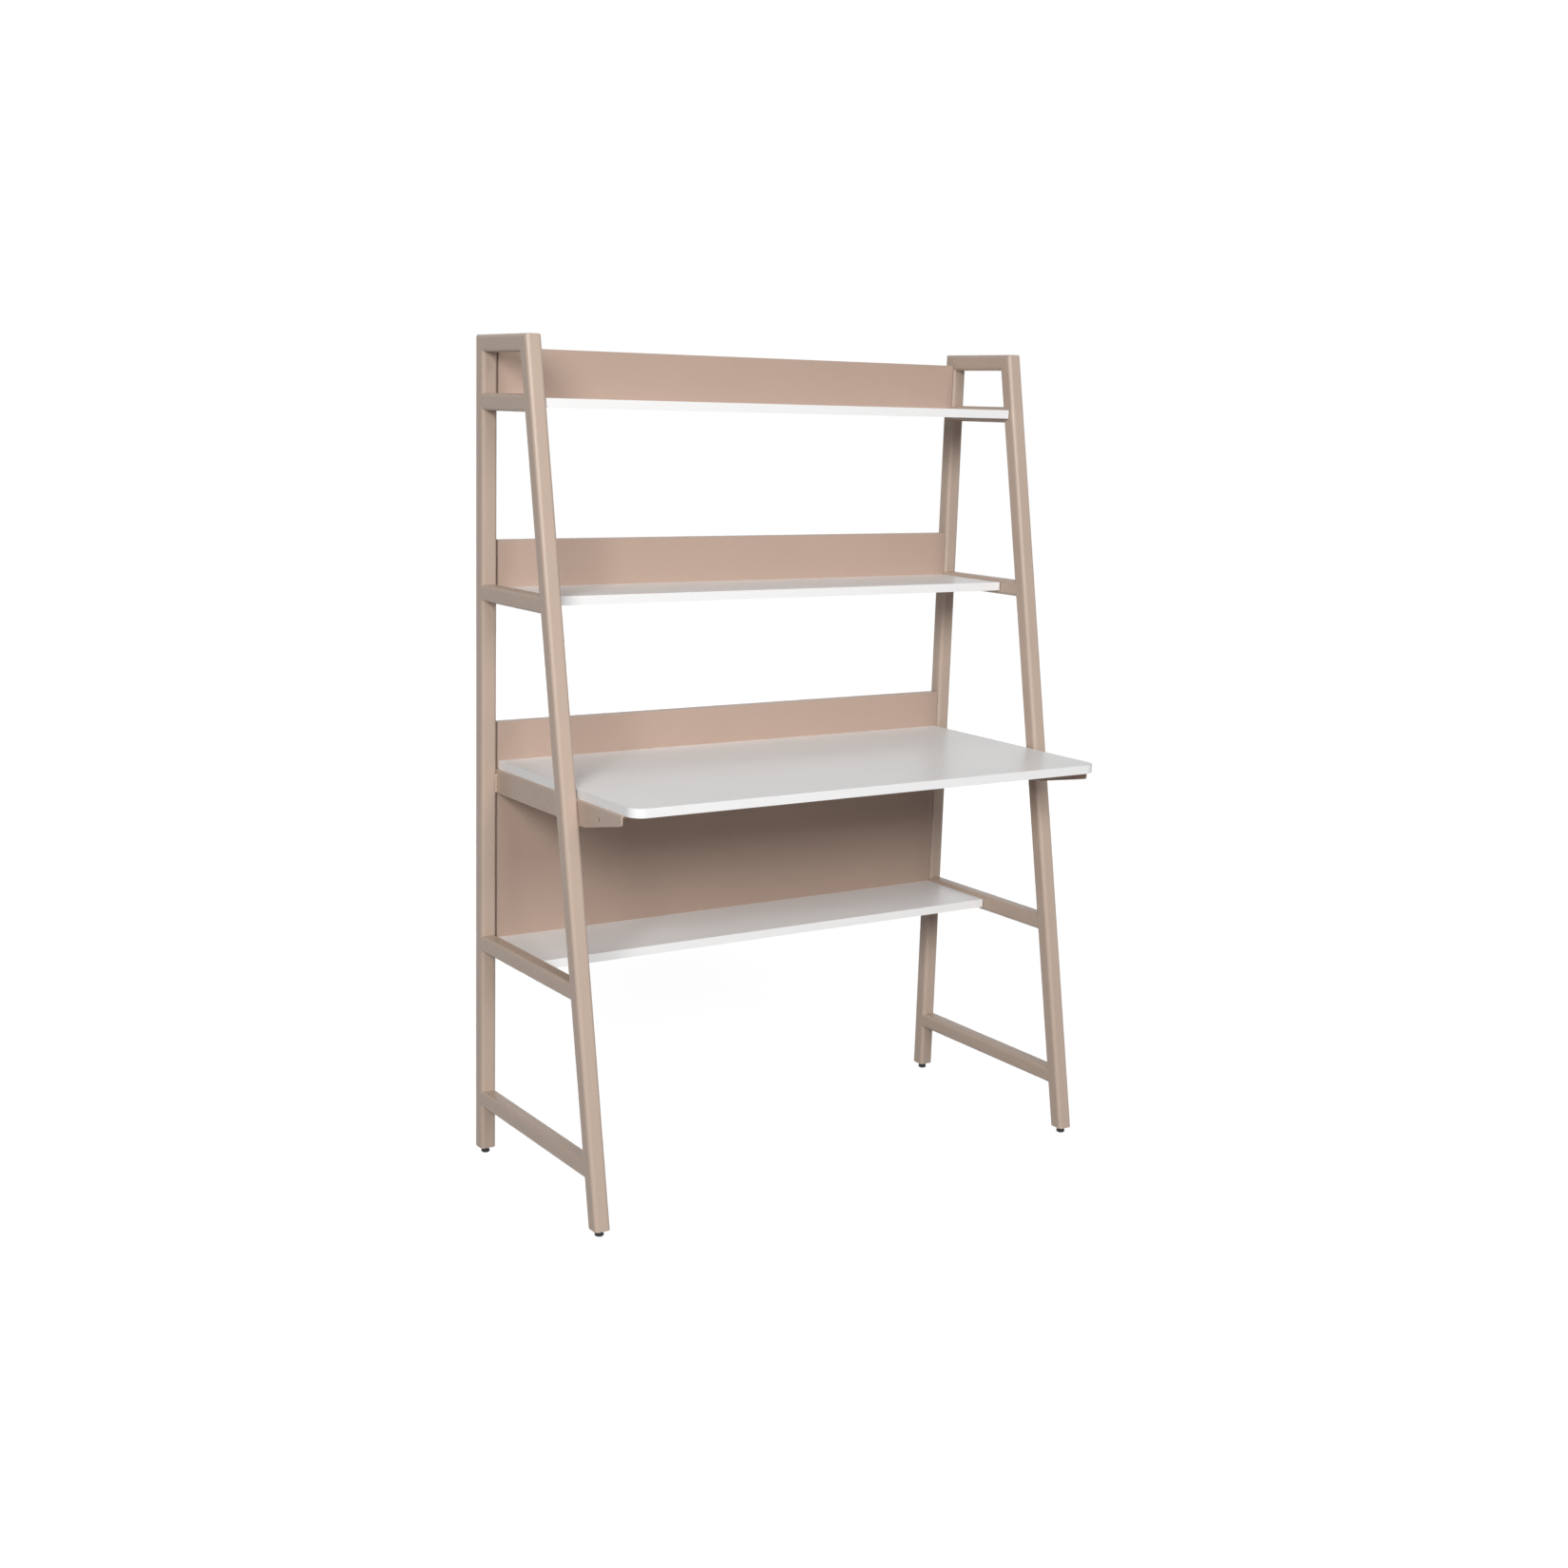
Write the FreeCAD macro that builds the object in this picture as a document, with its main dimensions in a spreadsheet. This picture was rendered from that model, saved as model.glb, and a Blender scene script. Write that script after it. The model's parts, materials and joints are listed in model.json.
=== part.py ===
import FreeCAD, Part
import math
import os
import Sketcher

# A ladder desk: two welded side frames of soft-cornered square tube, each with an upright rear
# post and a front leg that leans back, carry a desktop, three shelves and three back panels.
# X runs along the width, Y from front to back and Z up. The origin is on the floor, in the
# middle of the overall width and depth. All sizes are millimetres.

Vector = FreeCAD.Vector
document = FreeCAD.newDocument("LadderDesk")

SIZES = [
    ("width", 1070, "overall width, over the outer faces of the side frames"),
    ("depth", 520, "overall depth, from the desktop's front edge to the back of the posts"),
    ("height", 1500, "overall height above the floor"),
    ("tube", 30, "side of the square frame tube"),
    ("tube_wall", 1.5, "wall of the frame tube"),
    ("tube_corner", 7, "outer corner radius of the frame tube"),
    ("base_depth", 475, "front of the leg to the back of the post, at the tubes' lower ends"),
    ("top_depth", 195.5, "front of the leg to the back of the post, at the top"),
    ("foot_drop", 12, "height of the tubes' lower ends above the floor"),
    ("cope_share", 0.75, "share of the tube's corner radius that a coped rung end covers"),
    ("desk_height", 750, "top of the desktop above the floor"),
    ("top_shelf_drop", 105, "top of the top shelf below the overall height"),
    ("upper_bay", 332, "top of the top shelf above the top of the middle shelf"),
    ("lower_shelf_height", 419, "top of the lower shelf above the floor"),
    ("foot_rung_height", 110, "centre of the foot rung above the floor"),
    ("rung_rise", 6, "height of a shelf rung's top above its shelf's top"),
    ("board", 16, "thickness of the desktop, shelves and back panels"),
    ("edge_band", 1, "thickness of the boards' edge band"),
    ("board_gap", 2, "gap between the frame tubes and the ends of the shelves and panels"),
    ("desktop_gap", 5, "gap between the frame tubes and the ends of the desktop"),
    ("board_corner", 2, "corner radius of the shelves and back panels in plan"),
    ("desktop_corner", 25, "radius of the desktop's front corners in plan"),
    ("shelf_depth", 180, "depth of each shelf in front of its back panel"),
    ("panel_setback", 2, "front of the back panels behind the front of the posts"),
    ("shelf_upstand", 84, "height of the upper back panels above their shelves"),
    ("desk_upstand", 71, "height of the main back panel above the desktop"),
    ("sheet", 3, "thickness of the desk rails and of the fixing tabs"),
    ("rail_height", 43, "height of the desk rail's web"),
    ("rail_tip_height", 18, "height of the web at its front tip"),
    ("rail_tip_setback", 33, "desk rail's tip behind the desktop's front edge"),
    ("rail_nose", 125, "length of the web's nose, whose lower edge rises to the tip"),
    ("rail_tip_corner", 4.5, "radius of the web's lower front corner"),
    ("rail_knee", 24, "radius where the web's lower edge starts to rise"),
    ("rail_back_inset", 8, "desk rail's rear end in front of the post's back"),
    ("rail_flange", 34, "width of the flange under the desktop"),
    ("rail_flange_corner", 10, "radius of the flange's free corners"),
    ("rail_bend", 0.5, "inner bend radius between web and flange"),
    ("rail_hole", 9, "diameter of the hole through the desk rail's nose"),
    ("rail_hole_back", 76, "hole's centre behind the desk rail's tip"),
    ("rail_hole_down", 20.5, "hole's centre below the desktop's underside"),
    ("rail_notch_gap", 0.5, "clearance of a desk rail in its notch in the main back panel"),
    ("weld_radius", 2.5, "radius of the weld beads"),
    ("weld_length", 36, "length of the bead between a desk rail and its post"),
    ("weld_inset", 4, "ends of the bead under a desk rail from the faces of its leg"),
    ("tab_width", 24, "width of a fixing tab"),
    ("tab_reach", 28, "reach of a fixing tab from the tube's inner face"),
    ("tab_corner", 6, "radius of a fixing tab's free corners"),
    ("tab_inset", 25, "shelf tab's centre from the end of its rung"),
    ("tab_gap", 0.2, "clearance round a fixing tab in its pocket under a shelf"),
    ("tab_rail_gap", 4, "gap between the main back panel's upper tabs and the desk rails"),
    ("screw", 4, "shank diameter of the board screws"),
    ("screw_bite", 11, "length of a board screw inside its board"),
    ("screw_head", 8, "head diameter of the board screws"),
    ("screw_head_height", 2.4, "head height of the board screws"),
    ("screw_gap", 0.05, "radial clearance of a screw in its hole"),
    ("tab_hole", 5, "diameter of the screw holes in tabs and flanges"),
    ("connector", 5, "thread diameter of the panel connectors"),
    ("connector_collar", 7, "collar diameter of the panel connectors"),
    ("connector_head", 9.5, "head diameter of the panel connectors"),
    ("connector_bite", 32, "length of a panel connector inside its shelf"),
    ("connector_inset", 70, "outer connectors' centres from the boards' ends"),
    ("shelf_connector_gap", 450, "largest gap between connectors into a shelf"),
    ("desktop_connector_gap", 300, "largest gap between connectors into the desktop"),
    ("flange_screw_inset", 30, "outer flange screws' centres from the ends of the flange"),
    ("foot_plate", 3, "thickness of the plate that closes a tube's lower end"),
    ("plate_gap", 0.1, "clearance of that plate in its tube"),
    ("stud", 8, "diameter of the levelling glide's stud"),
    ("stud_length", 32, "length of the stud above the glide's disc"),
    ("stud_point", 1, "chamfer on the stud's upper end"),
    ("thread_gap", 0.1, "radial clearance of the stud in its nut and plate"),
    ("nut_flats", 13, "width over the flats of the weld nut and of the glide's hexagon"),
    ("nut_height", 6.5, "height of the weld nut"),
    ("pad", 16, "diameter of the glide's disc"),
    ("pad_height", 5, "height of the glide's disc"),
    ("pad_edge", 1.5, "chamfer on the pad's lower edge"),
    ("pad_floor", 2, "plastic below the stud inside the pad"),
    ("pad_gap", 0.02, "clearance of the stud in the pad"),
    ("hexagon_height", 3, "height of the glide's hexagon, on top of its disc"),
    ("cut_margin", 5, "how far a cutting profile runs past the tube it cuts"),
]

sheet = document.addObject("Spreadsheet::Sheet", "Sizes")
for row, (alias, size, meaning) in enumerate(SIZES, start=1):
    sheet.set(f"A{row}", alias)
    sheet.set(f"B{row}", str(size))
    sheet.set(f"C{row}", meaning)
    sheet.setAlias(f"B{row}", alias)
document.recompute()

# Places and angles that several pieces share, as expressions of the sizes.
BACK = "Sizes.depth / 2"
DESK_FRONT = "-Sizes.depth / 2"
POST_FRONT = f"({BACK} - Sizes.tube)"
POST_CENTRE = f"({BACK} - Sizes.tube / 2)"
LEG_FOOT = f"({BACK} - Sizes.base_depth)"
LEG_TOP = f"({BACK} - Sizes.top_depth)"
RUN = "(Sizes.height - Sizes.foot_drop)"
SLOPE = f"((Sizes.base_depth - Sizes.top_depth) / {RUN})"
LEAN = f"atan({SLOPE})"
LEG_LENGTH = f"({RUN} / cos({LEAN}))"
LEG_FOOT_CENTRE = f"({LEG_FOOT} + Sizes.tube / 2 / cos({LEAN}))"
MITRE = f"(Sizes.tube * tan((90 deg - {LEAN}) / 2))"
COPE = "(Sizes.cope_share * Sizes.tube_corner)"
INNER_FACE = "(Sizes.width / 2 - Sizes.tube)"
BOARD_END = f"({INNER_FACE} - Sizes.board_gap)"
DESKTOP_END = f"({INNER_FACE} - Sizes.desktop_gap)"
PANEL_FRONT = f"({POST_FRONT} + Sizes.panel_setback)"
PANEL_BACK = f"({PANEL_FRONT} + Sizes.board)"
SHELF_FRONT = f"({PANEL_FRONT} - Sizes.shelf_depth)"
DESK_UNDERSIDE = "(Sizes.desk_height - Sizes.board)"
RAIL_TIP = f"({DESK_FRONT} + Sizes.rail_tip_setback)"
RAIL_BACK = f"({BACK} - Sizes.rail_back_inset)"
RAIL_BOTTOM = f"({DESK_UNDERSIDE} - Sizes.rail_height)"
FLANGE_LENGTH = f"({PANEL_FRONT} - Sizes.sheet - {RAIL_TIP})"
SIDES = (("left", -1), ("right", 1))
BOARD_TOPS = {
    "top_shelf": "(Sizes.height - Sizes.top_shelf_drop)",
    "middle_shelf": "(Sizes.height - Sizes.top_shelf_drop - Sizes.upper_bay)",
    "lower_shelf": "Sizes.lower_shelf_height",
    "desktop": "Sizes.desk_height",
}
SHELVES = ("top_shelf", "middle_shelf", "lower_shelf")

nodes = {}


def value(expression):
    """The number that an expression of the sizes comes to."""
    return float(sheet.evalExpression(str(expression)))


def leg_front(z):
    """Y of the front leg's front face at height z, as an expression."""
    return f"({LEG_FOOT} + {SLOPE} * ({z} - Sizes.foot_drop))"


def leg_back(z):
    """Y of the front leg's rear face at height z, as an expression."""
    return f"({leg_front(z)} + Sizes.tube / cos({LEAN}))"


def rung_centre(shelf):
    """Height of the centre of the rung beside a shelf, as an expression."""
    return f"({BOARD_TOPS[shelf]} + Sizes.rung_rise - Sizes.tube / 2)"


# ---------------------------------------------------------------- sketches and features

def place(item, x="0", y="0", z="0", turn=None, axis=(1, 0, 0)):
    """Bind an object's position, and its turn about an axis, to expressions."""
    if turn is not None:
        item.Placement = FreeCAD.Placement(Vector(), FreeCAD.Rotation(Vector(*axis), value(turn)))
        item.setExpression("Placement.Rotation.Angle", turn)
    for letter, expression in (("x", x), ("y", y), ("z", z)):
        item.setExpression(f"Placement.Base.{letter}", expression)


def add(kind, label, **sizes):
    """A document object with a label and with sizes bound to expressions."""
    item = document.addObject(kind, label)
    item.Label = label
    for name, expression in sizes.items():
        item.setExpression(name, expression)
    return item


def new_sketch(body, role, name):
    """A sketch on one of a body's own origin planes."""
    sketch = body.newObject("Sketcher::SketchObject", name)
    plane = [item for item in body.Origin.OriginFeatures if item.Role == role][0]
    sketch.AttachmentSupport = [(plane, "")]
    sketch.MapMode = "FlatFace"
    return sketch


def bind(sketch, kind, *reference, size):
    """Add a dimension to a sketch and bind it to an expression."""
    index = sketch.addConstraint(Sketcher.Constraint(kind, *reference, value(size)))
    sketch.setExpression(f"Constraints[{index}]", size)


def bind_point(sketch, geometry, end, u, v):
    """Dimension one end of a sketch line from the sketch's origin."""
    bind(sketch, "DistanceX", -1, 1, geometry, end, size=u)
    bind(sketch, "DistanceY", -1, 1, geometry, end, size=v)


def polygon(sketch, corners):
    """Draw a closed outline whose corners are pairs of expressions."""
    first = sketch.GeometryCount
    points = [Vector(value(u), value(v), 0) for u, v in corners]
    count = len(points)
    for index in range(count):
        sketch.addGeometry(Part.LineSegment(points[index], points[(index + 1) % count]))
    for index in range(count):
        following = first + (index + 1) % count
        sketch.addConstraint(Sketcher.Constraint("Coincident", first + index, 2, following, 1))
    for index, (u, v) in enumerate(corners):
        bind_point(sketch, first + index, 1, u, v)


def circle(sketch, u, v, radius):
    """Draw a circle at a point given by expressions."""
    centre = Vector(value(u), value(v), 0)
    index = sketch.addGeometry(Part.Circle(centre, Vector(0, 0, 1), value(radius)))
    bind_point(sketch, index, 3, u, v)
    bind(sketch, "Radius", index, size=radius)


def rounded_rectangle(sketch, low_u, high_u, low_v, high_v, radius):
    """Draw a rectangle whose four corners are tangent arcs of one radius."""
    u0, u1, v0, v1, r = (value(item) for item in (low_u, high_u, low_v, high_v, radius))
    first = sketch.GeometryCount
    runs = [
        ((u0 + r, v0), (u1 - r, v0)),
        ((u1, v0 + r), (u1, v1 - r)),
        ((u1 - r, v1), (u0 + r, v1)),
        ((u0, v1 - r), (u0, v0 + r)),
    ]
    centres = [(u1 - r, v0 + r), (u1 - r, v1 - r), (u0 + r, v1 - r), (u0 + r, v0 + r)]
    for quarter in range(4):
        start, end = runs[quarter]
        sketch.addGeometry(Part.LineSegment(Vector(*start, 0), Vector(*end, 0)))
        ring = Part.Circle(Vector(*centres[quarter], 0), Vector(0, 0, 1), r)
        start_angle = (quarter - 1) * math.pi / 2
        sketch.addGeometry(Part.ArcOfCircle(ring, start_angle, start_angle + math.pi / 2))
    for index in range(8):
        following = first + (index + 1) % 8
        sketch.addConstraint(Sketcher.Constraint("Tangent", first + index, 2, following, 1))
    for offset, kind in ((0, "Horizontal"), (2, "Vertical"), (4, "Horizontal"), (6, "Vertical")):
        sketch.addConstraint(Sketcher.Constraint(kind, first + offset))
    for offset in (3, 5, 7):
        sketch.addConstraint(Sketcher.Constraint("Equal", first + 1, first + offset))
    bind(sketch, "Radius", first + 1, size=radius)
    bind(sketch, "DistanceY", -1, 1, first, 1, size=low_v)
    bind(sketch, "DistanceX", -1, 1, first + 2, 1, size=high_u)
    bind(sketch, "DistanceY", -1, 1, first + 4, 1, size=high_v)
    bind(sketch, "DistanceX", -1, 1, first + 6, 1, size=low_u)


def pad(body, sketch, length, backwards=False):
    """Extrude a sketch along its plane's normal, or against it."""
    feature = body.newObject("PartDesign::Pad", f"{sketch.Name}Pad")
    feature.Profile = sketch
    feature.setExpression("Length", length)
    feature.Reversed = backwards
    body.Tip = feature
    document.recompute()
    return feature


def pocket(body, sketch):
    """Cut a sketch's shape right through a body, both ways from its plane."""
    before = body.Shape.Volume
    feature = body.newObject("PartDesign::Pocket", f"{sketch.Name}Pocket")
    feature.Profile = sketch
    feature.Type = "ThroughAll"
    feature.Midplane = True
    body.Tip = feature
    document.recompute()
    if not feature.Shape.Volume < before:
        raise RuntimeError(f"{body.Label}: {sketch.Name} cuts nothing")
    return feature


def edges_where(shape, test):
    """Names of the edges whose middle point and direction pass a test."""
    names = []
    for number, edge in enumerate(shape.Edges, start=1):
        start, end = edge.firstVertex().Point, edge.lastVertex().Point
        if test((start + end) * 0.5, end - start):
            names.append(f"Edge{number}")
    return names


def round_edges(body, feature, test, radius):
    """Fillet the edges of a body's feature that pass a test."""
    fillet = body.newObject("PartDesign::Fillet", f"{feature.Name}Fillet")
    fillet.Base = (feature, edges_where(feature.Shape, test))
    fillet.setExpression("Radius", radius)
    body.Tip = fillet
    document.recompute()
    return fillet


def near(a, b):
    """True where two lengths are the same to a hundredth of a millimetre."""
    return abs(a - b) < 0.01


def cut(label, base, tool):
    """One object with another taken away from it."""
    item = add("Part::Cut", label)
    item.Base = base
    item.Tool = tool
    return item


def turned(label, profile):
    """A body of revolution about its Z axis, from (radius, height) expressions."""
    body = add("PartDesign::Body", label)
    sketch = new_sketch(body, "XZ_Plane", f"{label}_profile")
    polygon(sketch, profile)
    feature = body.newObject("PartDesign::Revolution", f"{label}_turn")
    feature.Profile = sketch
    feature.ReferenceAxis = (sketch, ["V_Axis"])
    feature.Angle = 360
    body.Tip = feature
    document.recompute()
    return body


def copies(label, master, places):
    """A group of separate copies of one solid, each at its own placement."""
    solids = []
    for placement in places:
        solid = master.Shape.copy()
        solid.Placement = placement.multiply(solid.Placement)
        solids.append(solid)
    group = document.addObject("Part::Feature", label)
    group.Label = label
    group.Shape = Part.Compound(solids)
    return group


def at(x, y, z, axis=(0, 0, 1), degrees=0):
    """A placement from numbers or expressions."""
    spot = Vector(value(x), value(y), value(z))
    return FreeCAD.Placement(spot, FreeCAD.Rotation(Vector(*axis), degrees))


def spaced(low, high, largest_gap):
    """Evenly spaced numbers between two expressions' values, at most a given gap apart."""
    start, end, gap = value(low), value(high), value(largest_gap)
    gaps = math.ceil((end - start) / gap)
    return [start + (end - start) * step / gaps for step in range(gaps + 1)]


# ---------------------------------------------------------------- side frames

def tube_section(sketch, low_v, high_v):
    """Draw the soft-cornered tube's outline and bore, centred on the sketch's V axis."""
    rounded_rectangle(sketch, "-Sizes.tube / 2", "Sizes.tube / 2", low_v, high_v,
                      "Sizes.tube_corner")
    bore_corner = "Sizes.tube_corner - Sizes.tube_wall"
    rounded_rectangle(sketch, "-Sizes.tube / 2 + Sizes.tube_wall",
                      "Sizes.tube / 2 - Sizes.tube_wall",
                      f"{low_v} + Sizes.tube_wall", f"{high_v} - Sizes.tube_wall", bore_corner)


def solid_bar(label, low_v, high_v, length, inset="0"):
    """A solid bar with the tube's outline, or that outline less an inset all round."""
    body = add("PartDesign::Body", label)
    sketch = new_sketch(body, "XY_Plane", f"{label}_section")
    rounded_rectangle(sketch, f"-Sizes.tube / 2 + {inset}", f"Sizes.tube / 2 - {inset}",
                      f"{low_v} + {inset}", f"{high_v} - {inset}", f"Sizes.tube_corner - {inset}")
    pad(body, sketch, length)
    return body


def rear_post(side, x):
    """Upright post, mitred at 45 degrees where it meets the top rail."""
    body = add("PartDesign::Body", f"{side}_rear_post")
    section = new_sketch(body, "XY_Plane", f"{side}_post_section")
    tube_section(section, "-Sizes.tube / 2", "Sizes.tube / 2")
    pad(body, section, RUN)
    mitre = new_sketch(body, "YZ_Plane", f"{side}_post_mitre")
    polygon(mitre, [
        ("Sizes.tube / 2 + Sizes.cut_margin", f"{RUN} + Sizes.cut_margin"),
        ("-Sizes.tube / 2 - Sizes.cut_margin", f"{RUN} - Sizes.tube - Sizes.cut_margin"),
        ("-Sizes.tube / 2 - Sizes.cut_margin", f"{RUN} + Sizes.cut_margin"),
    ])
    pocket(body, mitre)
    place(body, x, POST_CENTRE, "Sizes.foot_drop")
    return body


def front_leg(side, x):
    """Leaning leg, cut level at the floor and mitred where it meets the top rail."""
    body = add("PartDesign::Body", f"{side}_front_leg")
    section = new_sketch(body, "XY_Plane", f"{side}_leg_section")
    tube_section(section, "0 * Sizes.tube", "Sizes.tube")
    pad(body, section, LEG_LENGTH)
    level = new_sketch(body, "YZ_Plane", f"{side}_leg_level_cut")
    polygon(level, [
        ("-Sizes.cut_margin", f"-Sizes.cut_margin * {SLOPE}"),
        ("-Sizes.cut_margin", "-Sizes.tube"),
        ("Sizes.tube + Sizes.cut_margin", "-Sizes.tube"),
        ("Sizes.tube + Sizes.cut_margin", f"(Sizes.tube + Sizes.cut_margin) * {SLOPE}"),
    ])
    pocket(body, level)
    mitre = new_sketch(body, "YZ_Plane", f"{side}_leg_mitre")
    overrun = f"{MITRE} * Sizes.cut_margin / Sizes.tube"
    polygon(mitre, [
        ("-Sizes.cut_margin", f"{LEG_LENGTH} + {overrun}"),
        ("Sizes.tube + Sizes.cut_margin", f"{LEG_LENGTH} - {MITRE} - {overrun}"),
        ("Sizes.tube + Sizes.cut_margin", f"{LEG_LENGTH} + Sizes.tube"),
        ("-Sizes.cut_margin", f"{LEG_LENGTH} + Sizes.tube"),
    ])
    pocket(body, mitre)
    place(body, x, LEG_FOOT, "Sizes.foot_drop", turn=f"-{LEAN}")
    return body


def top_rail(side, x):
    """Level rail across the top, mitred to the leaning leg and to the post."""
    body = add("PartDesign::Body", f"{side}_top_rail")
    section = new_sketch(body, "XZ_Plane", f"{side}_top_rail_section")
    tube_section(section, "-Sizes.tube / 2", "Sizes.tube / 2")
    pad(body, section, "Sizes.top_depth", backwards=True)
    low = "-Sizes.tube / 2 - Sizes.cut_margin"
    rear = new_sketch(body, "YZ_Plane", f"{side}_top_rail_rear_mitre")
    polygon(rear, [
        ("Sizes.top_depth + Sizes.cut_margin", "Sizes.tube / 2 + Sizes.cut_margin"),
        ("Sizes.top_depth - Sizes.tube - Sizes.cut_margin", low),
        ("Sizes.top_depth + Sizes.cut_margin", low),
    ])
    pocket(body, rear)
    front = new_sketch(body, "YZ_Plane", f"{side}_top_rail_front_mitre")
    overrun = f"{MITRE} * Sizes.cut_margin / Sizes.tube"
    polygon(front, [
        (f"-{overrun}", "Sizes.tube / 2 + Sizes.cut_margin"),
        (f"-{overrun}", low),
        (f"{MITRE} + {overrun}", low),
    ])
    pocket(body, front)
    place(body, x, LEG_TOP, "Sizes.height - Sizes.tube / 2")
    return body


def rung(name, side, x, height, post_bar, leg_bar):
    """Rung between leg and post, its ends coped round the corners of both."""
    blank = add("PartDesign::Body", f"{side}_{name}_blank")
    section = new_sketch(blank, "XZ_Plane", f"{side}_{name}_section")
    tube_section(section, "-Sizes.tube / 2", "Sizes.tube / 2")
    start = f"({POST_FRONT} + {COPE})"
    low = f"({height} - Sizes.tube / 2 - Sizes.cut_margin)"
    high = f"({height} + Sizes.tube / 2 + Sizes.cut_margin)"
    front = f"({leg_front(low)} - {start})"
    pad(blank, section, f"-{front}")
    slant = new_sketch(blank, "YZ_Plane", f"{side}_{name}_slant")
    reach = f"({COPE} / cos({LEAN}) + {start})"
    polygon(slant, [
        (f"{leg_back(low)} - {reach}", f"{low} - {height}"),
        (f"{leg_back(high)} - {reach}", f"{high} - {height}"),
        (f"{front} - Sizes.tube", f"{high} - {height}"),
        (f"{front} - Sizes.tube", f"{low} - {height}"),
    ])
    pocket(blank, slant)
    place(blank, x, start, height)
    coped = cut(f"{side}_{name}_coped", blank, post_bar)
    return cut(f"{side}_{name}", coped, leg_bar)


def desk_rail(side, sign):
    """Folded rail under one end of the desktop: a web with a tapered nose, and a flange."""
    body = add("PartDesign::Body", f"{side}_desk_rail")
    length = f"({RAIL_BACK} - {RAIL_TIP})"
    section = new_sketch(body, "XZ_Plane", f"{side}_desk_rail_section")
    polygon(section, [
        ("0 * Sizes.sheet", "0 * Sizes.sheet"),
        (f"{-sign} * Sizes.rail_flange", "0 * Sizes.sheet"),
        (f"{-sign} * Sizes.rail_flange", "-Sizes.sheet"),
        (f"{-sign} * Sizes.sheet", "-Sizes.sheet"),
        (f"{-sign} * Sizes.sheet", "-Sizes.rail_height"),
        ("0 * Sizes.sheet", "-Sizes.rail_height"),
    ])
    folded = pad(body, section, length, backwards=True)
    thick = value("Sizes.sheet")
    inner_bend = round_edges(
        body, folded,
        lambda middle, run: near(middle.z, -thick) and near(middle.x, -sign * thick),
        "Sizes.rail_bend")
    outer_bend = round_edges(
        body, inner_bend,
        lambda middle, run: abs(run.y) > 50 and near(middle.z, 0) and near(middle.x, 0),
        "Sizes.rail_bend + Sizes.sheet")
    rise = "((Sizes.rail_height - Sizes.rail_tip_height) / Sizes.rail_nose * Sizes.cut_margin)"
    taper = new_sketch(body, "YZ_Plane", f"{side}_desk_rail_taper")
    polygon(taper, [
        ("-Sizes.cut_margin", f"-Sizes.rail_tip_height + {rise}"),
        ("Sizes.rail_nose", "-Sizes.rail_height"),
        ("Sizes.rail_nose", "-Sizes.rail_height - Sizes.cut_margin"),
        ("-Sizes.cut_margin", "-Sizes.rail_height - Sizes.cut_margin"),
    ])
    tapered = pocket(body, taper)
    relief = new_sketch(body, "XY_Plane", f"{side}_desk_rail_relief")
    polygon(relief, [
        (f"{-sign} * Sizes.sheet", f"{FLANGE_LENGTH}"),
        (f"{-sign} * (Sizes.rail_flange + Sizes.cut_margin)", f"{FLANGE_LENGTH}"),
        (f"{-sign} * (Sizes.rail_flange + Sizes.cut_margin)", f"{length} + Sizes.cut_margin"),
        (f"{-sign} * Sizes.sheet", f"{length} + Sizes.cut_margin"),
    ])
    relieved = pocket(body, relief)
    free = value(f"{-sign} * Sizes.rail_flange")
    corners = round_edges(
        body, relieved,
        lambda middle, run: abs(run.z) > 1 and near(middle.x, free),
        "Sizes.rail_flange_corner")
    tip_height, rail_height = value("Sizes.rail_tip_height"), value("Sizes.rail_height")
    nose = round_edges(
        body, corners,
        lambda middle, run: near(middle.y, 0) and near(middle.z, -tip_height),
        "Sizes.rail_tip_corner")
    knee = value("Sizes.rail_nose")
    round_edges(
        body, nose,
        lambda middle, run: near(middle.y, knee) and near(middle.z, -rail_height),
        "Sizes.rail_knee")
    hole = new_sketch(body, "YZ_Plane", f"{side}_desk_rail_nose_hole")
    circle(hole, "Sizes.rail_hole_back", "-Sizes.rail_hole_down", "Sizes.rail_hole / 2")
    pocket(body, hole)
    screw_holes = new_sketch(body, "XY_Plane", f"{side}_desk_rail_screw_holes")
    for x, y in flange_screw_spots():
        circle(screw_holes, f"{-sign} * {x}", f"{y} - {RAIL_TIP}", "Sizes.tab_hole / 2")
    pocket(body, screw_holes)
    place(body, f"{sign} * {INNER_FACE}", RAIL_TIP, DESK_UNDERSIDE)
    return body


def flange_screw_spots():
    """Distance from the tube's inner face, and Y, of each screw in a desk rail's flange."""
    low = f"({RAIL_TIP} + Sizes.flange_screw_inset)"
    high = f"({RAIL_TIP} + {FLANGE_LENGTH} - Sizes.flange_screw_inset)"
    return [("(Sizes.rail_flange + Sizes.sheet) / 2", f"({low} + ({high} - {low}) * {step} / 3)")
            for step in range(4)]


def weld_bead(length):
    """A round-ended bead along Z, before what it joins is cut out of it."""
    radius = value("Sizes.weld_radius")
    run = length - 2 * radius
    bead = Part.makeCylinder(radius, run, Vector(0, 0, radius))
    ends = [Part.makeSphere(radius, Vector(0, 0, radius + offset)) for offset in (0, run)]
    return bead.fuse(ends).removeSplitter()


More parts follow.
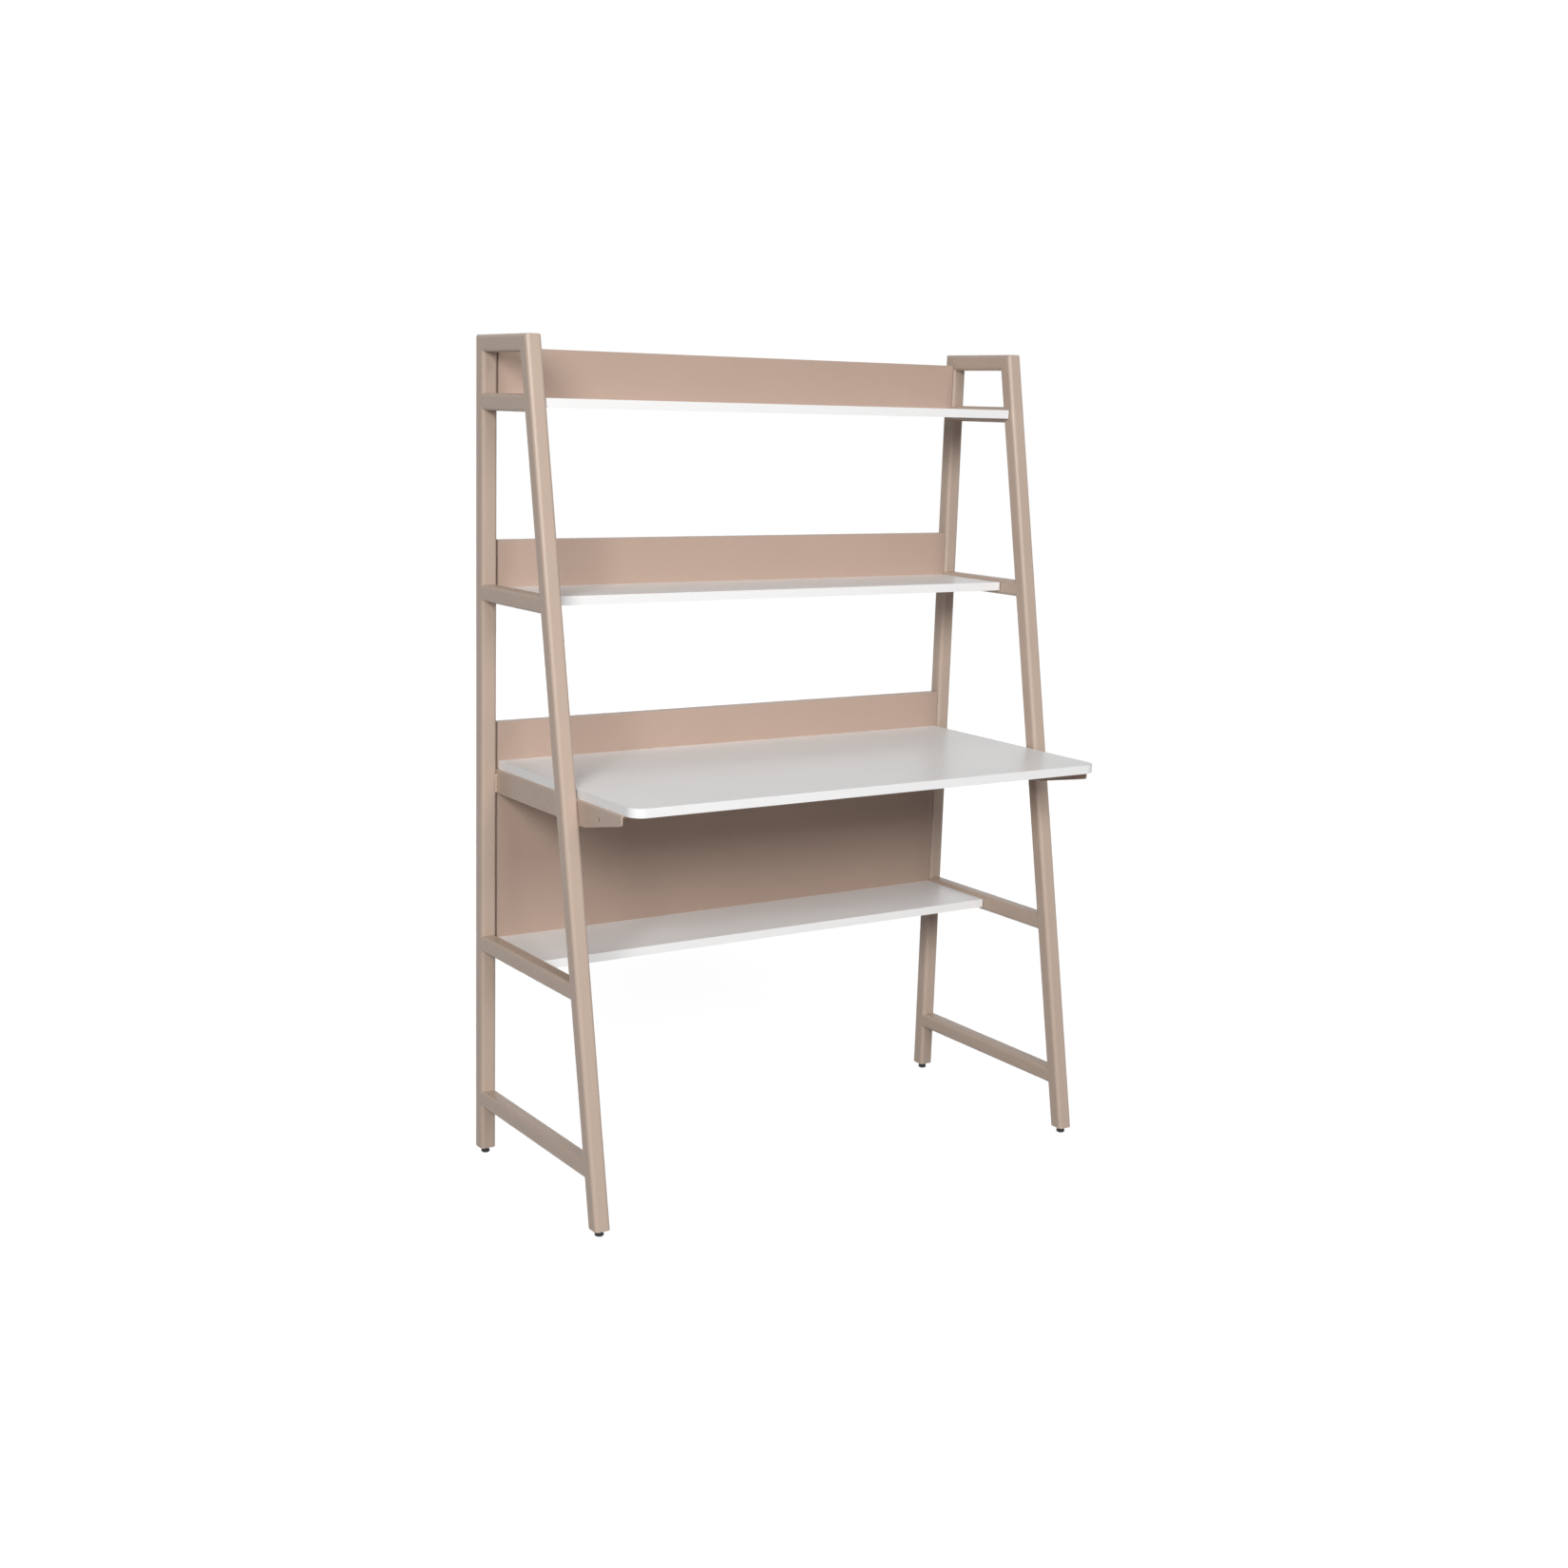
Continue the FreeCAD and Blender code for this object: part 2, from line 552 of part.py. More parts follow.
def rail_welds(side, sign, rail, post_bar, leg_bar):
    """Beads that join a desk rail to the post's front corner and to the leg's inner face."""
    inner_face = sign * value(INNER_FACE)
    thick = value("Sizes.weld_radius")
    upright = weld_bead(value("Sizes.weld_length"))
    upright.translate(Vector(inner_face + sign * thick / 2, value(POST_FRONT) + thick / 2,
                             value(RAIL_BOTTOM)))
    start = value(f"{leg_front(RAIL_BOTTOM)} + Sizes.weld_inset")
    level = weld_bead(value(f"{leg_back(RAIL_BOTTOM)} - Sizes.weld_inset") - start)
    level.rotate(Vector(), Vector(1, 0, 0), -90)
    level.translate(Vector(inner_face - sign * thick / 2, start,
                           value(RAIL_BOTTOM) - thick / 2))
    beads = [bead.cut([rail.Shape, post_bar.Shape, leg_bar.Shape]) for bead in (upright, level)]
    group = document.addObject("Part::Feature", f"{side}_desk_rail_welds")
    group.Label = f"{side}_desk_rail_welds"
    group.Shape = Part.Compound([solid for bead in beads for solid in bead.Solids])
    return group


# ---------------------------------------------------------------- fixing tabs

def tab_plate(label, gap, thickness):
    """Plate with the tab's outline, grown by a gap; it starts at X = 0 and hangs below Z = 0."""
    body = add("PartDesign::Body", label)
    outline = new_sketch(body, "XY_Plane", f"{label}_outline")
    side = f"(Sizes.tab_width / 2 + {gap})"
    reach = f"(Sizes.tab_reach + {gap})"
    polygon(outline, [
        ("0 * Sizes.tab_reach", f"-{side}"),
        (reach, f"-{side}"),
        (reach, side),
        ("0 * Sizes.tab_reach", side),
    ])
    plate = pad(body, outline, thickness, backwards=True)
    free_end = value(reach)
    round_edges(body, plate, lambda middle, run: abs(run.z) > 1 and near(middle.x, free_end),
                f"Sizes.tab_corner + {gap}")
    return body


def tab_master():
    """Flat tab with a rounded free end and a countersunk screw hole."""
    body = tab_plate("tab_master", "0 * Sizes.tab_gap", "Sizes.sheet")
    hole = new_sketch(body, "XY_Plane", "tab_hole")
    circle(hole, TAB_HOLE, "0 * Sizes.tab_reach", "Sizes.tab_hole / 2")
    drilled = pocket(body, hole)
    outer_face = -value("Sizes.sheet")
    countersink = body.newObject("PartDesign::Chamfer", "tab_countersink")
    countersink.Base = (drilled, edges_where(
        drilled.Shape, lambda middle, run: run.Length < 0.01 and near(middle.z, outer_face)))
    countersink.setExpression("Size", "(Sizes.screw_head - Sizes.tab_hole) / 2 + Sizes.screw_gap")
    body.Tip = countersink
    document.recompute()
    return body


TAB_HOLE = "(Sizes.tab_reach + Sizes.board_gap) / 2"


def shelf_tab_rows(shelf):
    """Y of the front and rear tab under one end of a shelf, as expressions."""
    front = f"max({leg_back(rung_centre(shelf))}; {SHELF_FRONT}) + Sizes.tab_inset"
    return (front, f"{POST_FRONT} - Sizes.tab_inset")


PANEL_LEVELS = {
    "top_back_panel": (f"{BOARD_TOPS['top_shelf']} - Sizes.board",
                       f"{BOARD_TOPS['top_shelf']} + Sizes.shelf_upstand"),
    "middle_back_panel": (f"{BOARD_TOPS['middle_shelf']} - Sizes.board",
                          f"{BOARD_TOPS['middle_shelf']} + Sizes.shelf_upstand"),
    "main_back_panel": (f"{BOARD_TOPS['lower_shelf']} - Sizes.board",
                        f"{BOARD_TOPS['desktop']} + Sizes.desk_upstand"),
}
# The levels between which each panel's tabs lie, and the shares of that height at which they are.
PANEL_TABS = (
    (*PANEL_LEVELS["top_back_panel"], (0.6,)),
    (*PANEL_LEVELS["middle_back_panel"], (0.6,)),
    (PANEL_LEVELS["main_back_panel"][0],
     f"{RAIL_BOTTOM} - Sizes.tab_rail_gap - Sizes.tab_width / 2", (0.38, 1)),
)


def panel_tab_heights():
    """Heights of the tabs behind one end of the back panels."""
    heights = []
    for low_level, high_level, shares in PANEL_TABS:
        low, high = value(low_level), value(high_level)
        heights += [low + (high - low) * share for share in shares]
    return heights


def shelf_fixings(reach):
    """Placements at the ceilings of the tabs' pockets, a given way in from the tubes."""
    spots = {"left": [], "right": []}
    for side, sign in SIDES:
        for shelf in SHELVES:
            for row in shelf_tab_rows(shelf):
                spots[side].append(at(f"{sign} * ({INNER_FACE} - {reach})", row,
                                      f"{BOARD_TOPS[shelf]} - Sizes.board + Sizes.sheet",
                                      degrees=0 if sign < 0 else 180))
    return spots


def panel_fixings(reach):
    """Placements at the backs of the panels, whose local -Z points to the rear."""
    spots = {"left": [], "right": []}
    upright = FreeCAD.Rotation(Vector(1, 0, 0), 90)
    for side, sign in SIDES:
        for height in panel_tab_heights():
            spot = at(f"{sign} * ({INNER_FACE} - {reach})", PANEL_BACK, height,
                      degrees=0 if sign < 0 else 180)
            spot.Rotation = upright.multiply(
                FreeCAD.Rotation(Vector(0, 0, 1), 0 if sign < 0 else 180))
            spots[side].append(spot)
    return spots


# ---------------------------------------------------------------- boards

def board_blank(label, plane, ranges, corner, rounded, base):
    """A flat board: an outline in one plane, one board thick, with rounded corners."""
    low_u, high_u, low_v, high_v = ranges
    body = add("PartDesign::Body", label)
    sketch = new_sketch(body, plane, f"{label}_outline")
    polygon(sketch, [(low_u, low_v), (high_u, low_v), (high_u, high_v), (low_u, high_v)])
    slab = pad(body, sketch, "Sizes.board", backwards=True)
    front = value(low_v)
    across = "z" if plane == "XY_Plane" else "y"
    along = "y" if plane == "XY_Plane" else "z"

    def is_corner(middle, run):
        at_front = near(getattr(middle, along), front)
        return abs(getattr(run, across)) > 1 and (at_front or rounded == "all")

    round_edges(body, slab, is_corner, corner)
    place(body, **base)
    return body


def banded_board(name, plane, edges, corner, rounded, base, holes):
    """A board's core, drilled for its screws, and the band round its visible edges."""
    left, right, low, high = edges
    band = "Sizes.edge_band"
    rear_inset = band if rounded == "all" else "0"
    blank = board_blank(f"{name}_blank", plane, edges, corner, rounded, base)
    core_edges = (f"{left} + {band}", f"{right} - {band}", f"{low} + {band}",
                  f"{high} - {rear_inset}")
    core = board_blank(f"{name}_core", plane, core_edges, f"{corner} - {band}", rounded, base)
    nodes[name] = cut(name, core, holes)
    ring = cut(f"{name}_ring", blank, core)
    nodes[f"{name}_edge_band"] = cut(f"{name}_edge_band", ring, holes)


def rail_notch(side, sign):
    """Cutter for the notch in the main back panel's end through which a desk rail passes."""
    depth = "(Sizes.sheet + Sizes.rail_notch_gap)"
    notch = add("Part::Box", f"{side}_rail_notch", Length=depth,
                Width="Sizes.board + 2 * Sizes.cut_margin",
                Height="Sizes.rail_height + 2 * Sizes.rail_notch_gap")
    inner = f"-{INNER_FACE}" if sign < 0 else f"({INNER_FACE} - {depth})"
    place(notch, inner, f"{PANEL_FRONT} - Sizes.cut_margin",
          f"{RAIL_BOTTOM} - Sizes.rail_notch_gap")
    return notch


def screw_profile(gap, head=None):
    """Half section of a board screw: a flat head above Z = 0, a pan head below it, or none."""
    axis = "0 * Sizes.screw"
    radius = f"(Sizes.screw / 2 + {gap})"
    length = f"(Sizes.sheet + Sizes.screw_bite + {gap})"
    edge = "Sizes.screw_head / 2"
    shoulder = "Sizes.screw_head_height / 2"
    under_head = {
        None: [(axis, axis), (radius, axis)],
        "flat": [(axis, axis), (edge, axis), (radius, f"{edge} - {radius}")],
        "pan": [(axis, "-Sizes.screw_head_height"),
                (f"{edge} - {shoulder}", "-Sizes.screw_head_height"),
                (edge, f"-{shoulder}"),
                (edge, axis),
                (radius, axis)],
    }[head]
    return under_head + [(radius, f"{length} - Sizes.screw / 2"), (axis, length)]


def connector_profile(gap):
    """Half section of a panel connector: countersunk head, collar, thread and point."""
    head = "Sizes.connector_head / 2"
    collar = f"(Sizes.connector_collar / 2 + {gap})"
    thread = f"(Sizes.connector / 2 + {gap})"
    length = f"(Sizes.board + Sizes.connector_bite + {gap})"
    return [("0 * Sizes.connector", "0 * Sizes.connector"),
            (f"{head} + {gap}", "0 * Sizes.connector"),
            (collar, f"{head} + {gap} - {collar}"),
            (collar, "Sizes.board"),
            (thread, "Sizes.board"),
            (thread, f"{length} - Sizes.connector / 2"),
            ("0 * Sizes.connector", length)]


# ---------------------------------------------------------------- feet

def hexagon(label, height, bore):
    """A hexagonal nut blank with a round bore, standing on Z = 0."""
    prism = add("Part::Prism", f"{label}_prism", Height=height,
                Circumradius="Sizes.nut_flats / sqrt(3)")
    prism.Polygon = 6
    hole = add("Part::Cylinder", f"{label}_hole", Height=height, Radius=bore)
    return cut(label, prism, hole)


def foot(name, x, y, cavity):
    """Closing plate, weld nut and screw-in glide at the lower end of one tube."""
    slab = add("Part::Box", f"{name}_slab", Length="Sizes.tube",
               Width=f"Sizes.tube / cos({LEAN})", Height="Sizes.foot_plate")
    place(slab, f"{x} - Sizes.tube / 2", f"{y} - Sizes.tube / 2 / cos({LEAN})",
          "Sizes.foot_drop")
    filled = add("Part::Common", f"{name}_filled")
    filled.Base = slab
    filled.Tool = cavity
    hole = add("Part::Cylinder", f"{name}_hole", Height="Sizes.foot_plate",
               Radius="Sizes.stud / 2 + Sizes.thread_gap")
    place(hole, x, y, "Sizes.foot_drop")
    nodes[f"{name}_end_plate"] = cut(f"{name}_end_plate", filled, hole)
    nut = hexagon(f"{name}_weld_nut", "Sizes.nut_height", "Sizes.stud / 2 + Sizes.thread_gap")
    place(nut, x, y, "Sizes.foot_drop + Sizes.foot_plate")
    nodes[f"{name}_weld_nut"] = nut
    zero = "0 * Sizes.pad"
    bore = "Sizes.stud / 2 + Sizes.pad_gap"
    disc = turned(f"{name}_glide_disc", [
        (zero, zero), ("Sizes.pad / 2 - Sizes.pad_edge", zero), ("Sizes.pad / 2", "Sizes.pad_edge"),
        ("Sizes.pad / 2", "Sizes.pad_height - Sizes.pad_edge / 2"),
        ("Sizes.pad / 2 - Sizes.pad_edge / 2", "Sizes.pad_height"),
        (bore, "Sizes.pad_height"), (bore, "Sizes.pad_floor"), (zero, "Sizes.pad_floor"),
    ])
    grip = hexagon(f"{name}_glide_grip", "Sizes.hexagon_height", bore)
    place(grip, z="Sizes.pad_height")
    glide_pad = add("Part::Fuse", f"{name}_glide_pad")
    glide_pad.Base = disc
    glide_pad.Tool = grip
    place(glide_pad, x, y, "0")
    nodes[f"{name}_glide_pad"] = glide_pad
    top = "(Sizes.pad_height + Sizes.stud_length)"
    stud = turned(f"{name}_glide_stud", [
        (zero, "Sizes.pad_floor"), ("Sizes.stud / 2", "Sizes.pad_floor"),
        ("Sizes.stud / 2", f"{top} - Sizes.stud_point"),
        ("Sizes.stud / 2 - Sizes.stud_point", top), (zero, top),
    ])
    place(stud, x, y, "0")
    nodes[f"{name}_glide_stud"] = stud


# ---------------------------------------------------------------- the assembly

tab = tab_master()
shelf_tab_spots = shelf_fixings("0")
panel_tab_spots = panel_fixings("0")

for side, sign in SIDES:
    centre_x = f"({sign} * (Sizes.width - Sizes.tube) / 2)"
    post_bar = solid_bar(f"{side}_post_outline", "-Sizes.tube / 2", "Sizes.tube / 2", RUN)
    place(post_bar, centre_x, POST_CENTRE, "Sizes.foot_drop")
    leg_bar = solid_bar(f"{side}_leg_outline", "0 * Sizes.tube", "Sizes.tube", LEG_LENGTH)
    place(leg_bar, centre_x, LEG_FOOT, "Sizes.foot_drop", turn=f"-{LEAN}")
    nodes[f"{side}_rear_post"] = rear_post(side, centre_x)
    nodes[f"{side}_front_leg"] = front_leg(side, centre_x)
    nodes[f"{side}_top_rail"] = top_rail(side, centre_x)
    for shelf in SHELVES:
        nodes[f"{side}_{shelf}_rung"] = rung(f"{shelf}_rung", side, centre_x,
                                             rung_centre(shelf), post_bar, leg_bar)
    nodes[f"{side}_foot_rung"] = rung("foot_rung", side, centre_x, "Sizes.foot_rung_height",
                                      post_bar, leg_bar)
    nodes[f"{side}_desk_rail"] = desk_rail(side, sign)
    document.recompute()
    nodes[f"{side}_desk_rail_welds"] = rail_welds(side, sign, nodes[f"{side}_desk_rail"],
                                                  post_bar, leg_bar)
    nodes[f"{side}_shelf_tabs"] = copies(f"{side}_shelf_tabs", tab, shelf_tab_spots[side])
    nodes[f"{side}_panel_tabs"] = copies(f"{side}_panel_tabs", tab, panel_tab_spots[side])
    bore_inset = "(Sizes.tube_wall + Sizes.plate_gap)"
    post_cavity = solid_bar(f"{side}_post_cavity", "-Sizes.tube / 2", "Sizes.tube / 2", RUN,
                            bore_inset)
    place(post_cavity, centre_x, POST_CENTRE, "Sizes.foot_drop")
    leg_cavity = solid_bar(f"{side}_leg_cavity", "0 * Sizes.tube", "Sizes.tube", LEG_LENGTH,
                           bore_inset)
    place(leg_cavity, centre_x, LEG_FOOT, "Sizes.foot_drop", turn=f"-{LEAN}")
    foot(f"{side}_rear", centre_x, POST_CENTRE, post_cavity)
    foot(f"{side}_front", centre_x, LEG_FOOT_CENTRE, leg_cavity)

flat_screw = turned("flat_screw", screw_profile("0", head="flat"))
pan_screw = turned("pan_screw", screw_profile("0", head="pan"))
screw_hole = turned("screw_hole", screw_profile("Sizes.screw_gap"))
connector_master = turned("connector_master", connector_profile("0"))
connector_hole = turned("connector_hole", connector_profile("Sizes.screw_gap"))

# Screws enter the shelves from under their tabs and the panels from behind theirs, so each one
# starts at the tab's outer face.
outer_face = FreeCAD.Placement(Vector(0, 0, -value("Sizes.sheet")), FreeCAD.Rotation())
shelf_screw_spots = [spot.multiply(outer_face)
                     for spots in shelf_fixings(TAB_HOLE).values() for spot in spots]
panel_screw_spots = [spot.multiply(outer_face)
                     for spots in panel_fixings(TAB_HOLE).values() for spot in spots]
desktop_screw_spots = [at(f"{sign} * ({INNER_FACE} - {x})", y, f"{DESK_UNDERSIDE} - Sizes.sheet")
                       for side, sign in SIDES for x, y in flange_screw_spots()]

# Panel connectors run from the back of a panel into the rear edge of each board it meets.
forward = FreeCAD.Rotation(Vector(1, 0, 0), 90)
connector_spots = []
for board, top in BOARD_TOPS.items():
    spacing = "desktop_connector_gap" if board == "desktop" else "shelf_connector_gap"
    end = DESKTOP_END if board == "desktop" else BOARD_END
    for x in spaced(f"-{end} + Sizes.connector_inset", f"{end} - Sizes.connector_inset",
                    f"Sizes.{spacing}"):
        spot = at(x, PANEL_BACK, f"{top} - Sizes.board / 2")
        spot.Rotation = forward
        connector_spots.append(spot)

for label, master, spots in (("shelf_screws", flat_screw, shelf_screw_spots),
                             ("panel_screws", flat_screw, panel_screw_spots),
                             ("desktop_screws", pan_screw, desktop_screw_spots),
                             ("panel_connectors", connector_master, connector_spots)):
    nodes[label] = copies(label, master, spots)

tab_pocket = tab_plate("tab_pocket", "Sizes.tab_gap", "Sizes.sheet + Sizes.cut_margin")
holes = add("Part::Compound", "board_holes")
holes.Links = [
    copies("screw_holes", screw_hole, shelf_screw_spots + panel_screw_spots + desktop_screw_spots),
    copies("connector_holes", connector_hole, connector_spots),
    copies("tab_pockets", tab_pocket, shelf_tab_spots["left"] + shelf_tab_spots["right"]),
]
main_panel_holes = add("Part::Compound", "main_panel_holes")
main_panel_holes.Links = [holes] + [rail_notch(side, sign) for side, sign in SIDES]

ends = (f"-{BOARD_END}", BOARD_END)
banded_board("desktop", "XY_Plane", (f"-{DESKTOP_END}", DESKTOP_END, DESK_FRONT, PANEL_FRONT),
             "Sizes.desktop_corner", "front", {"z": BOARD_TOPS["desktop"]}, holes)
for shelf in SHELVES:
    banded_board(shelf, "XY_Plane", (*ends, SHELF_FRONT, PANEL_FRONT), "Sizes.board_corner",
                 "front", {"z": BOARD_TOPS[shelf]}, holes)
for panel, levels in PANEL_LEVELS.items():
    banded_board(panel, "XZ_Plane", (*ends, *levels), "Sizes.board_corner", "all",
                 {"y": PANEL_FRONT}, main_panel_holes if panel == "main_back_panel" else holes)

document.recompute()

# ---------------------------------------------------------------- check and export

for item in document.Objects:
    if "Invalid" in item.State or "Error" in item.State:
        raise RuntimeError(f"{item.Label} failed: {item.State}")
os.makedirs("parts", exist_ok=True)
for name, item in nodes.items():
    shape = item.Shape
    if shape.isNull() or not shape.isValid() or not shape.Solids:
        raise RuntimeError(f"{name} has no valid solid")
    shape.exportStep(f"parts/{name}.step")
print(f"{len(nodes)} nodes written")
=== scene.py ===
import json
import math

import bmesh
import bpy
from mathutils import Matrix, Vector

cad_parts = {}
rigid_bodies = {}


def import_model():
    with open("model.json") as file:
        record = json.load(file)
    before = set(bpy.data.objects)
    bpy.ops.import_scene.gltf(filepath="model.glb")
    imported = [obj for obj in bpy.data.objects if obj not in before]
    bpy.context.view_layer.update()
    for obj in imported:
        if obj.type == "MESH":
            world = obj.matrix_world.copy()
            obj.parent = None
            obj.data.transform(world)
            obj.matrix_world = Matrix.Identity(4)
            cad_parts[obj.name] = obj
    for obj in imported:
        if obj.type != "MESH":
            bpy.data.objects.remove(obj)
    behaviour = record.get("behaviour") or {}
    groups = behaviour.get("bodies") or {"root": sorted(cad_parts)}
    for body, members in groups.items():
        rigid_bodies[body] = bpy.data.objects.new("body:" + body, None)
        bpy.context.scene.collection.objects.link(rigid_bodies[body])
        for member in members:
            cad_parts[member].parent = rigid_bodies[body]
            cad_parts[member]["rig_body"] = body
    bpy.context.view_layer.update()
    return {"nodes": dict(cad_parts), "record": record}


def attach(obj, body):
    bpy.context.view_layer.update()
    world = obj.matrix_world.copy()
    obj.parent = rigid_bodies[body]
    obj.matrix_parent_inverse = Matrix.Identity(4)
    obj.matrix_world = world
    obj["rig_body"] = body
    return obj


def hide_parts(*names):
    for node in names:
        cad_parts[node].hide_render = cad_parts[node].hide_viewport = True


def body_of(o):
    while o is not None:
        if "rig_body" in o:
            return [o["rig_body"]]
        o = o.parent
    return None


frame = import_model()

# A ladder desk in a white studio: powder-coated tube frame, white boards and beige back panels.
# Lengths are metres, in the same frame as the CAD model, except where millimetres are named.

nodes = frame["nodes"]
finishes = {entry["node"]: entry["material_slot"] for entry in frame["record"]["subparts"]}
scene = bpy.context.scene


def add_object(name, data):
    """A new object in the scene."""
    made = bpy.data.objects.new(name, data)
    scene.collection.objects.link(made)
    return made


# ---------------------------------------------------------------- photograph's camera

# Worked out from the photograph's perspective. Its frame is square.
FRAME_PIXELS = 1650
FOCAL_PIXELS = 2103.8
CENTRE_X_PIXEL = 767.5
CENTRE_Y_PIXEL = 862.3
CAMERA_PLACE = Vector((-2.0755, -2.9938, 1.3953))
CAMERA_YAW = math.radians(32.746)
CAMERA_PITCH = math.radians(11.772)
CAMERA_ROLL = math.radians(1.528)
SENSOR_MM = 36.0
CLIP_START = 0.05
CLIP_END = 100


def make_camera():
    """Camera at the photograph's place, angle and framing."""
    data = bpy.data.cameras.new("camera")
    data.sensor_fit = "HORIZONTAL"
    data.sensor_width = SENSOR_MM
    data.lens = FOCAL_PIXELS / FRAME_PIXELS * SENSOR_MM
    data.shift_x = (FRAME_PIXELS / 2 - CENTRE_X_PIXEL) / FRAME_PIXELS
    data.shift_y = (CENTRE_Y_PIXEL - FRAME_PIXELS / 2) / FRAME_PIXELS
    data.clip_start = CLIP_START
    data.clip_end = CLIP_END
    forward = Vector((math.sin(CAMERA_YAW) * math.cos(CAMERA_PITCH),
                      math.cos(CAMERA_YAW) * math.cos(CAMERA_PITCH),
                      -math.sin(CAMERA_PITCH)))
    level_right = Vector((math.cos(CAMERA_YAW), -math.sin(CAMERA_YAW), 0))
    level_up = level_right.cross(forward)
    right = level_right * math.cos(CAMERA_ROLL) + level_up * math.sin(CAMERA_ROLL)
    up = level_up * math.cos(CAMERA_ROLL) - level_right * math.sin(CAMERA_ROLL)
    turn = Matrix((right, up, -forward)).transposed()
    camera = add_object("camera", data)
    camera.matrix_world = Matrix.Translation(CAMERA_PLACE) @ turn.to_4x4()
    bpy.context.scene.camera = camera


# ---------------------------------------------------------------- materials

NOISE_LOW, NOISE_HIGH = 0.3, 0.7            # the range that holds most of a noise's values
MIX_DARK, MIX_LIGHT, MIX_RESULT = 6, 7, 2   # the Mix node's colour sockets, whose names repeat

# What is seen in each finish, as the distance across one feature.
FILM_PATCH = 0.09
ORANGE_PEEL = 0.0022
PAINT_GRAIN = 0.0007
MELAMINE_CLOUD = 0.16
MELAMINE_PEARL = 0.0009
BAND_LINE = 0.0012
BAND_GRAIN = 0.0006
ZINC_TINT = 0.004
ZINC_SCRATCH = 0.0005
PLASTIC_GRAIN = 0.0008


class Graph:
    """Short helpers for building the node tree of a material or a world."""

    def __init__(self, owner, output):
        owner.use_nodes = True
        self.owner = owner
        self.tree = owner.node_tree
        self.tree.nodes.clear()
        self.output = self.node(output)

    def node(self, kind, inputs=None, **settings):
        """Add a node, with input values or links by the socket's name or number."""
        made = self.tree.nodes.new("ShaderNode" + kind)
        for key, setting in settings.items():
            setattr(made, key, setting)
        for key, source in (inputs or {}).items():
            if isinstance(source, bpy.types.NodeSocket):
                self.tree.links.new(source, made.inputs[key])
            else:
                made.inputs[key].default_value = source
        return made

    def noise(self, size, detail=2.0, stretch=(1, 1, 1)):
        """Noise in object space whose features are about one size across."""
        place = self.node("TexCoord").outputs["Object"]
        scaled = self.node("Mapping", {"Vector": place, "Scale": stretch}).outputs["Vector"]
        made = self.node("TexNoise", {"Vector": scaled, "Scale": 1 / size, "Detail": detail})
        return made.outputs["Fac"]

    def spread(self, source, low, high):
        """Map a noise's middle range onto two values."""
        made = self.node("MapRange", {"Value": source, "From Min": NOISE_LOW,
                                      "From Max": NOISE_HIGH, "To Min": low, "To Max": high})
        return made.outputs["Result"]

    def tones(self, source, dark, light):
        """Two colours mixed by a noise."""
        made = self.node("Mix", {"Factor": self.spread(source, 0, 1), MIX_DARK: (*dark, 1),
                                 MIX_LIGHT: (*light, 1)}, data_type="RGBA")
        return made.outputs[MIX_RESULT]

    def bump(self, height, depth, below=None):
        """Bump of a depth, over an earlier bump's normal where given."""
        inputs = {"Height": height, "Distance": depth, "Strength": 1.0}
        if below is not None:
            inputs["Normal"] = below
        return self.node("Bump", inputs).outputs["Normal"]

    def close(self, shader):
        """Send a shader to the output, and give back the material or world."""
        self.tree.links.new(shader, self.output.inputs["Surface"])
        return self.owner

    def principled(self, inputs):
        """Close the material with a Principled shader."""
        return self.close(self.node("BsdfPrincipled", inputs).outputs["BSDF"])


def new_graph(name):
    """The empty node tree of a new material."""
    return Graph(bpy.data.materials.new(name), "OutputMaterial")


def shade(colour, share):
    """A colour made darker or lighter by a share."""
    return tuple(part * share for part in colour)


def powder_coat(name, colour):
    """Satin powder coat: a fine orange-peel skin over slightly uneven film."""
    graph = new_graph(name)
    film = graph.noise(FILM_PATCH, detail=3)
    grain = graph.noise(PAINT_GRAIN, detail=1)
    peel = graph.noise(ORANGE_PEEL, detail=2)
    both = graph.node("Math", {0: film, 1: grain}, operation="ADD").outputs[0]
    mean = graph.node("Math", {0: both, 1: 0.5}, operation="MULTIPLY").outputs[0]
    return graph.principled({
        "Base Color": graph.tones(mean, shade(colour, 0.965), shade(colour, 1.03)),
        "Roughness": graph.spread(peel, 0.26, 0.30),
        "Specular IOR Level": 0.24,
        "Normal": graph.bump(grain, 0.000004, graph.bump(peel, 0.000018))})


def melamine(name, colour, roughness, gloss):
    """Satin melamine face: a fine pearl texture with faint cloudiness."""
    graph = new_graph(name)
    cloud = graph.noise(MELAMINE_CLOUD, detail=3)
    pearl = graph.noise(MELAMINE_PEARL, detail=2)
    return graph.principled({
        "Base Color": graph.tones(cloud, shade(colour, 0.985), shade(colour, 1.01)),
        "Roughness": graph.spread(pearl, roughness - 0.04, roughness + 0.05),
        "Specular IOR Level": gloss,
        "Normal": graph.bump(pearl, 0.000012)})


def edge_band(name, colour):
    """Smooth edge band with faint scraper lines along its length."""
    graph = new_graph(name)
    lines = graph.noise(BAND_LINE, detail=1, stretch=(0.02, 0.02, 1))
    grain = graph.noise(BAND_GRAIN, detail=1)
    return graph.principled({
        "Base Color": graph.tones(lines, shade(colour, 0.98), shade(colour, 1.01)),
        "Roughness": graph.spread(grain, 0.34, 0.44),
        "Normal": graph.bump(grain, 0.000008, graph.bump(lines, 0.00001))})


